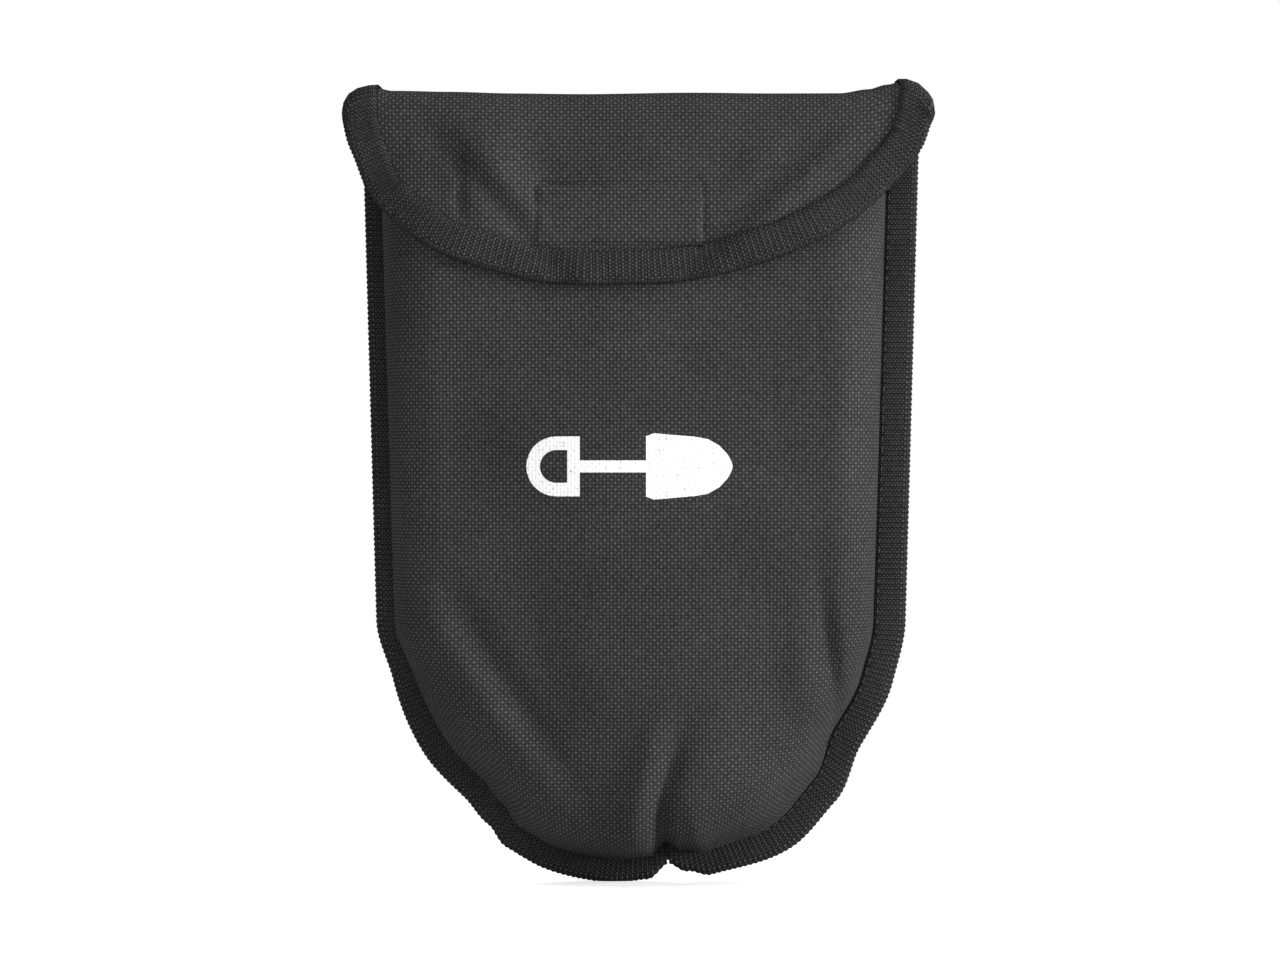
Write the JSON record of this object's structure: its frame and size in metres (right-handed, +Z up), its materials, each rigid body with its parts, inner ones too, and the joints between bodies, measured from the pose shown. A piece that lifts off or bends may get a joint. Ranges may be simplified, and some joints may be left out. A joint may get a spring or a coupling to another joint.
{
  "type": "camp shovel in belt pouch",
  "caption": "Folded three-piece camp shovel stowed in a woven belt pouch with bound edges, a curved hook-and-loop flap and a belt loop on its back.",
  "frame": {"origin": "middle of the belt passage, between the back panel and the belt loop", "axes": "+X along the belt, to the right as seen from the front; +Y out of the pouch's back, towards the wearer; +Z up, towards the flap's folds"},
  "size_m": [0.186, 0.0626, 0.2529],
  "materials": {
    "pouch_cloth": "woven polyester, matt",
    "binding": "ribbed binding tape",
    "webbing": "woven webbing",
    "hook_and_loop": "hook and loop tape",
    "thread": "sewing thread",
    "blade_steel": "black powder coat, matt",
    "black_steel": "black paint, satin",
    "bright_steel": "zinc plated",
    "cast_lug": "cast, satin",
    "shaft_aluminium": "anodised, satin",
    "collar_plastic": "knurled nylon",
    "grip_plastic": "moulded grip"
  },
  "bodies": {
    "pouch": {"back_panel": "pouch_cloth", "front_panel": "pouch_cloth", "edge_binding_left": "binding", "edge_binding_right": "binding", "mouth_binding": "binding", "loop_patch": "hook_and_loop", "belt_loop": "webbing", "belt_loop_stitching": "thread", "blade": "blade_steel", "blade_rivets": "bright_steel", "blade_bracket": "black_steel", "blade_pivot_pin": "bright_steel", "shaft_top_lug": "cast_lug", "shaft_tube": "shaft_aluminium", "threaded_ferrule": "bright_steel", "shaft_end_lug": "cast_lug", "handle_pivot_pin": "bright_steel", "handle_yoke": "black_steel", "handle_frame": "black_steel", "handle_grip": "grip_plastic"},
    "flap_top": {"flap_top_panel": "pouch_cloth", "flap_top_binding": "binding"},
    "flap_front": {"flap_front_panel": "pouch_cloth", "flap_front_binding": "binding", "hook_patch": "hook_and_loop"},
    "collar_washer": {"collar_washer": "bright_steel"},
    "lock_collar": {"lock_collar": "collar_plastic"}
  },
  "joints": [
    {"name": "flap_lift", "type": "hinge", "parent": "pouch", "child": "flap_top", "pos_m": [0, -0.0031, 0.084], "axis": [-1, 0, 0], "range_deg": [0, 210]},
    {"name": "flap_fold", "type": "hinge", "parent": "flap_top", "child": "flap_front", "pos_m": [0, -0.057, 0.084], "axis": [-1, 0, 0], "range_deg": [0, 90]},
    {"name": "collar_travel", "type": "slide", "parent": "pouch", "child": "collar_washer", "axis": [0, 0, -1], "range_m": [0, 0.00601]},
    {"name": "collar_turn", "type": "hinge", "parent": "collar_washer", "child": "lock_collar", "pos_m": [0, -0.0307, 0.035], "axis": [0, 0, 1], "range_deg": [0, 720]}
  ],
  "couplings": [
    {"joint": "collar_travel", "follows": "collar_turn", "m_per_rad": 0.00047746}
  ]
}
